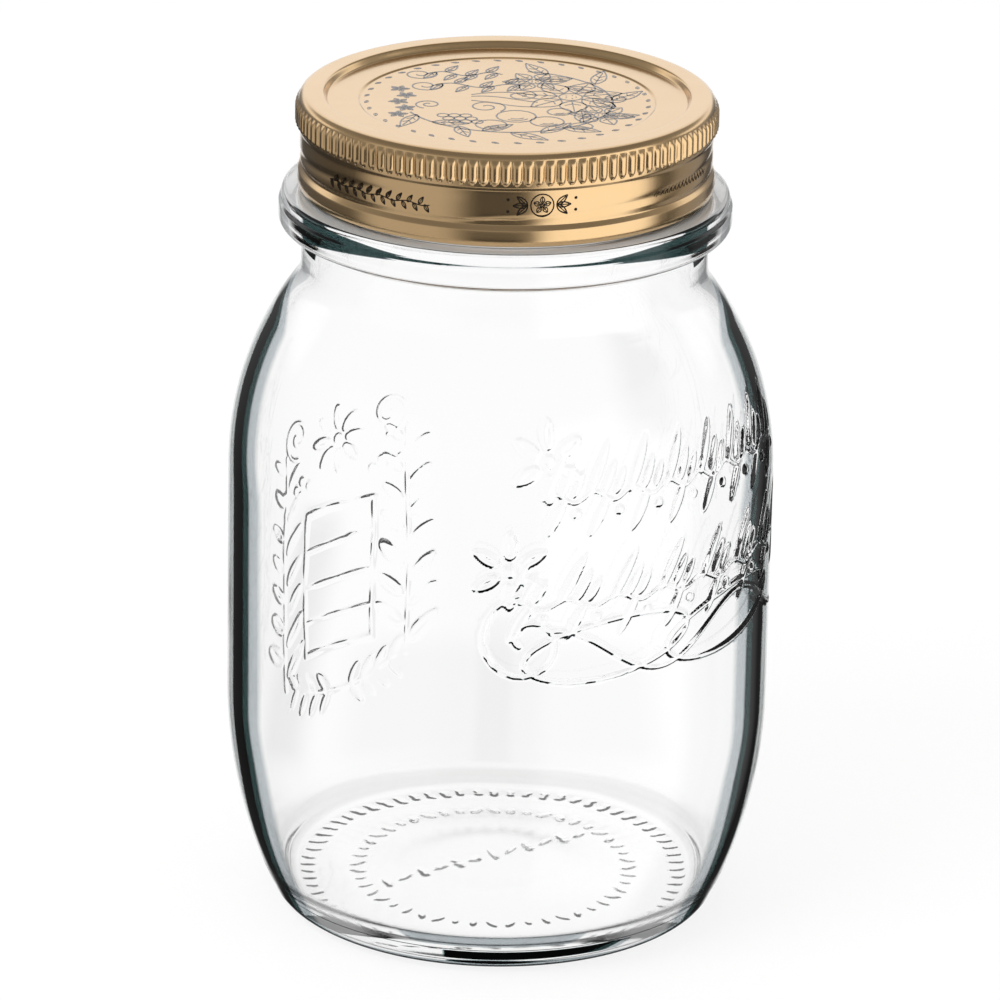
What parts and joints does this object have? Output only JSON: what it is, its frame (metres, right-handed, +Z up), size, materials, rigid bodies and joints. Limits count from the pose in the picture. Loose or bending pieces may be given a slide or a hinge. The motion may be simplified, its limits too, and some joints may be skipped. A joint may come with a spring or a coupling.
{
  "type": "empty glass preserving jar with screw lid",
  "caption": "Round-shouldered clear glass preserving jar with a transfer ring, raised mould ornament and a knurled gold-lacquered screw lid; empty.",
  "frame": {"origin": "middle of the base, on the surface that the jar stands on", "axes": "+Z up along the jar's axis; -Y is the front, with the vine ornament to the right of it"},
  "size_m": [0.0924, 0.0925, 0.1429],
  "materials": {
    "clear_glass": "clear pressed soda-lime glass, fire-polished",
    "gold_lacquered_tinplate": "gold-lacquered tinplate, satin gloss"
  },
  "bodies": {
    "root": {"glass_jar": "clear_glass", "screw_lid": "gold_lacquered_tinplate"}
  },
  "joints": []
}
